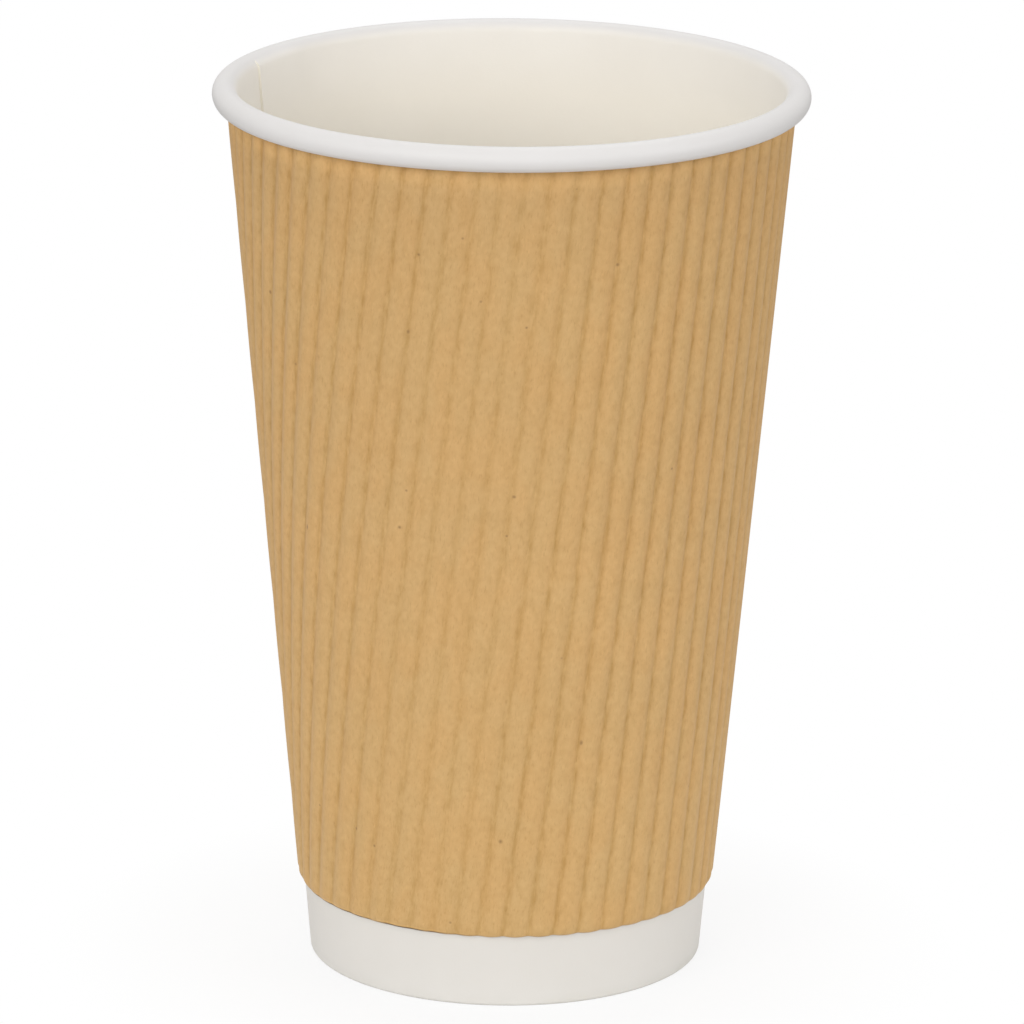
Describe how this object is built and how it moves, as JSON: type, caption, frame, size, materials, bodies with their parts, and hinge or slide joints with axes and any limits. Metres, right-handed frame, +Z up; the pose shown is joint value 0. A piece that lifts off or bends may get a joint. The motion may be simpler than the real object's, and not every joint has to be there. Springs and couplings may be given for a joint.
{
  "type": "paper coffee cup",
  "caption": "Tapered white paperboard hot-drink cup with a rolled rim, a raised base disc and a fluted brown kraft wrap that leaves a white band at the foot.",
  "frame": {"origin": "middle of the foot ring, on the surface that the cup stands on", "axes": "+Z up along the cup's axis, towards the rim; -Y towards the front, the side that the picture shows; +X to the right in that view"},
  "size_m": [0.09, 0.09, 0.1365],
  "materials": {
    "white_board": "smooth, thin plastic coating inside",
    "base_board": "smooth, thin plastic coating on top",
    "kraft_paper": "uncoated, matt, fine fibres"
  },
  "bodies": {
    "root": {"cup_wall": "white_board", "base_disc": "base_board", "ripple_wrap": "kraft_paper"}
  },
  "joints": []
}
